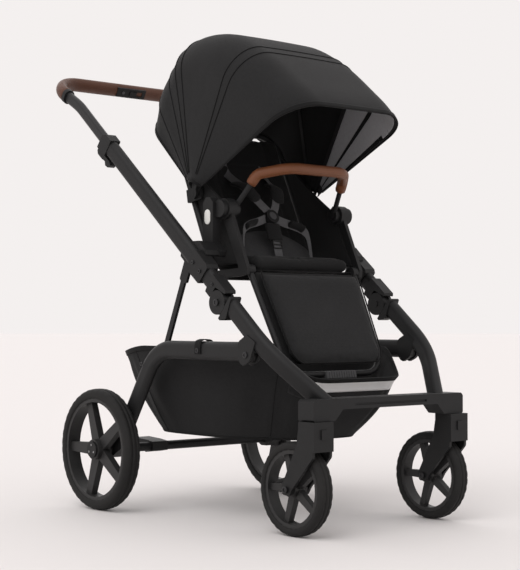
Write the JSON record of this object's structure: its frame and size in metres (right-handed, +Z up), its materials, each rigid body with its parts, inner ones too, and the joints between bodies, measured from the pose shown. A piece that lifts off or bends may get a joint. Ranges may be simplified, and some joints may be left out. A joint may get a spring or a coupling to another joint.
{
  "type": "baby stroller",
  "caption": "Folding baby stroller with a reversible-style seat, extending canopy, leather-wrapped telescopic handle, bumper bar, under-seat basket and swivelling front wheels.",
  "frame": {"origin": "on the floor, under the middle of the bounding box", "axes": "+Z up; the child faces -Y and the handle is at +Y; +X is the child's left"},
  "size_m": [0.622, 1.0255, 1.133],
  "materials": {
    "frame_paint": "dark charcoal matt coating on aluminium tube",
    "handle_tube": "dark satin anodised",
    "black_plastic": "fine-grained moulded plastic",
    "grey_plastic": "satin moulded plastic",
    "tyre": "matt foam-filled rubber",
    "dark_leather": "stitched dark brown imitation leather",
    "tan_leather": "stitched tan brown imitation leather",
    "dark_fabric": "melange woven polyester",
    "grey_fabric": "soft knitted liner"
  },
  "bodies": {
    "chassis": {"front_beam": "frame_paint", "lower_tube_left": "frame_paint", "lower_tube_right": "frame_paint", "knuckle_lower_left": "black_plastic", "knuckle_lower_right": "black_plastic", "leg_pivot_brackets": "black_plastic"},
    "upper_frame": {"upper_tube_left": "frame_paint", "upper_tube_right": "frame_paint", "knuckle_upper_left": "black_plastic", "knuckle_upper_right": "black_plastic", "seat_mount_left": "black_plastic", "seat_mount_right": "black_plastic", "telescopic_collars": "black_plastic", "link_housings": "black_plastic"},
    "handle": {"handle_frame": "handle_tube", "handle_grip": "dark_leather", "grip_end_rings": "black_plastic", "fold_release_panel": "black_plastic"},
    "fold_slider": {"fold_release_slider": "black_plastic"},
    "fold_button": {"fold_safety_button": "grey_plastic"},
    "lever_left": {"height_lever_left": "black_plastic"},
    "lever_right": {"height_lever_right": "black_plastic"},
    "rear_frame": {"rear_leg_left": "frame_paint", "rear_leg_right": "frame_paint", "rear_wheel_mounts": "black_plastic", "rear_axle_tube": "frame_paint", "basket_bag": "dark_fabric"},
    "brake": {"brake_pedal": "black_plastic"},
    "links": {"fold_links": "frame_paint"},
    "rear_wheel_left": {"rear_tyre_left": "tyre", "rear_rim_left": "grey_plastic", "rear_hub_cap_left": "black_plastic"},
    "rear_wheel_right": {"rear_tyre_right": "tyre", "rear_rim_right": "grey_plastic", "rear_hub_cap_right": "black_plastic"},
    "caster_left": {"caster_fork_left": "black_plastic"},
    "caster_right": {"caster_fork_right": "black_plastic"},
    "front_wheel_left": {"front_tyre_left": "tyre", "front_rim_left": "grey_plastic"},
    "front_wheel_right": {"front_tyre_right": "tyre", "front_rim_right": "grey_plastic"},
    "swivel_button_left": {"swivel_lock_left": "black_plastic"},
    "swivel_button_right": {"swivel_lock_right": "black_plastic"},
    "seat": {"seat_frame": "black_plastic", "back_frame": "frame_paint", "seat_cushion": "grey_fabric", "backrest_cushion": "grey_fabric", "harness_buckle": "black_plastic", "harness_straps": "dark_fabric", "canopy_fabric": "dark_fabric"},
    "tilt_left": {"tilt_button_left": "black_plastic"},
    "tilt_right": {"tilt_button_right": "black_plastic"},
    "leg_rest": {"leg_rest_frame": "frame_paint", "leg_rest_pad": "dark_fabric", "footrest_pad": "black_plastic"},
    "bumper": {"bumper_bar": "frame_paint", "bumper_cover": "tan_leather"},
    "front_bow": {"canopy_front_bow": "black_plastic"},
    "middle_bow": {"canopy_middle_bow": "black_plastic"},
    "buckle_press": {"buckle_button": "grey_plastic"}
  },
  "joints": [
    {"name": "frame_fold", "type": "hinge", "parent": "chassis", "child": "upper_frame", "pos_m": [0, -0.21113, 0.49391], "axis": [-1, 0, 0], "range_deg": [0, 115]},
    {"name": "rear_legs_fold", "type": "hinge", "parent": "chassis", "child": "rear_frame", "pos_m": [0, -0.30876, 0.38001], "axis": [-1, 0, 0], "range_deg": [0, 64.4], "deforming": ["basket_bag"]},
    {"name": "links_fold", "type": "hinge", "parent": "upper_frame", "child": "links", "pos_m": [0, -0.07707, 0.6064], "axis": [-1, 0, 0], "range_deg": [-93.4, 0]},
    {"name": "handle_slide", "type": "slide", "parent": "upper_frame", "child": "handle", "axis": [0, -0.766, -0.6428], "range_m": [0, 0.1]},
    {"name": "fold_slider_slide", "type": "slide", "parent": "handle", "child": "fold_slider", "axis": [1, 0, 0], "range_m": [0, 0.014], "stiffness_N_per_m": 120, "springref_m": -0.02},
    {"name": "fold_button_press", "type": "slide", "parent": "handle", "child": "fold_button", "axis": [0, 0.8646, 0.5024], "range_m": [0, 0.002], "stiffness_N_per_m": 300, "springref_m": -0.004},
    {"name": "height_lever_left_turn", "type": "hinge", "parent": "upper_frame", "child": "lever_left", "pos_m": [0, 0.25979, 0.87235], "axis": [1, 0, 0], "range_deg": [0, 60]},
    {"name": "height_lever_right_turn", "type": "hinge", "parent": "upper_frame", "child": "lever_right", "pos_m": [0, 0.25979, 0.87235], "axis": [1, 0, 0], "range_deg": [0, 60]},
    {"name": "brake_pedal_turn", "type": "hinge", "parent": "rear_frame", "child": "brake", "pos_m": [0, 0.20625, 0.143], "axis": [-1, 0, 0], "range_deg": [0, 18]},
    {"name": "rear_wheel_left_spin", "type": "hinge", "parent": "rear_frame", "child": "rear_wheel_left", "pos_m": [0.286, 0.20625, 0.145], "axis": [1, 0, 0], "continuous": true},
    {"name": "rear_wheel_right_spin", "type": "hinge", "parent": "rear_frame", "child": "rear_wheel_right", "pos_m": [-0.286, 0.20625, 0.145], "axis": [1, 0, 0], "continuous": true},
    {"name": "caster_left_swivel", "type": "hinge", "parent": "chassis", "child": "caster_left", "pos_m": [0.209, -0.47475, 0.1], "axis": [0, 0, 1], "continuous": true},
    {"name": "caster_right_swivel", "type": "hinge", "parent": "chassis", "child": "caster_right", "pos_m": [-0.209, -0.47475, 0.1], "axis": [0, 0, 1], "continuous": true},
    {"name": "front_wheel_left_spin", "type": "hinge", "parent": "caster_left", "child": "front_wheel_left", "pos_m": [0.209, -0.41275, 0.1], "axis": [1, 0, 0], "continuous": true},
    {"name": "front_wheel_right_spin", "type": "hinge", "parent": "caster_right", "child": "front_wheel_right", "pos_m": [-0.209, -0.41275, 0.1], "axis": [1, 0, 0], "continuous": true},
    {"name": "swivel_lock_left_press", "type": "slide", "parent": "caster_left", "child": "swivel_button_left", "axis": [0, 1, 0], "range_m": [0, 0.0015], "stiffness_N_per_m": 400, "springref_m": -0.004},
    {"name": "swivel_lock_right_press", "type": "slide", "parent": "caster_right", "child": "swivel_button_right", "axis": [0, 1, 0], "range_m": [0, 0.0015], "stiffness_N_per_m": 400, "springref_m": -0.004},
    {"name": "seat_tilt", "type": "hinge", "parent": "upper_frame", "child": "seat", "pos_m": [0, -0.14225, 0.708], "axis": [-1, 0, 0], "range_deg": [0, 22]},
    {"name": "tilt_button_left_press", "type": "slide", "parent": "seat", "child": "tilt_left", "axis": [1, 0, 0], "range_m": [0, 0.004], "stiffness_N_per_m": 400, "springref_m": -0.004},
    {"name": "tilt_button_right_press", "type": "slide", "parent": "seat", "child": "tilt_right", "axis": [-1, 0, 0], "range_m": [0, 0.004], "stiffness_N_per_m": 400, "springref_m": -0.004},
    {"name": "leg_rest_raise", "type": "hinge", "parent": "seat", "child": "leg_rest", "pos_m": [0, -0.20375, 0.568], "axis": [-1, 0, 0], "range_deg": [0, 60]},
    {"name": "bumper_swing", "type": "hinge", "parent": "seat", "child": "bumper", "pos_m": [0, -0.14225, 0.708], "axis": [-1, 0, 0], "range_deg": [-40, 45]},
    {"name": "canopy_fold", "type": "hinge", "parent": "seat", "child": "front_bow", "pos_m": [0, -0.03076, 0.75], "axis": [-1, 0, 0], "range_deg": [0, 50], "deforming": ["canopy_fabric"]},
    {"name": "canopy_middle_follow", "type": "hinge", "parent": "seat", "child": "middle_bow", "pos_m": [0, -0.03076, 0.75], "axis": [-1, 0, 0], "range_deg": [0, 20]},
    {"name": "buckle_press", "type": "slide", "parent": "seat", "child": "buckle_press", "axis": [0, 0.8829, -0.4695], "range_m": [0, 0.002], "stiffness_N_per_m": 400, "springref_m": -0.004}
  ],
  "couplings": [
    {"joint": "rear_legs_fold", "follows": "frame_fold", "ratio": 0.56},
    {"joint": "links_fold", "follows": "frame_fold", "ratio": -0.812},
    {"joint": "canopy_middle_follow", "follows": "canopy_fold", "ratio": 0.4}
  ]
}
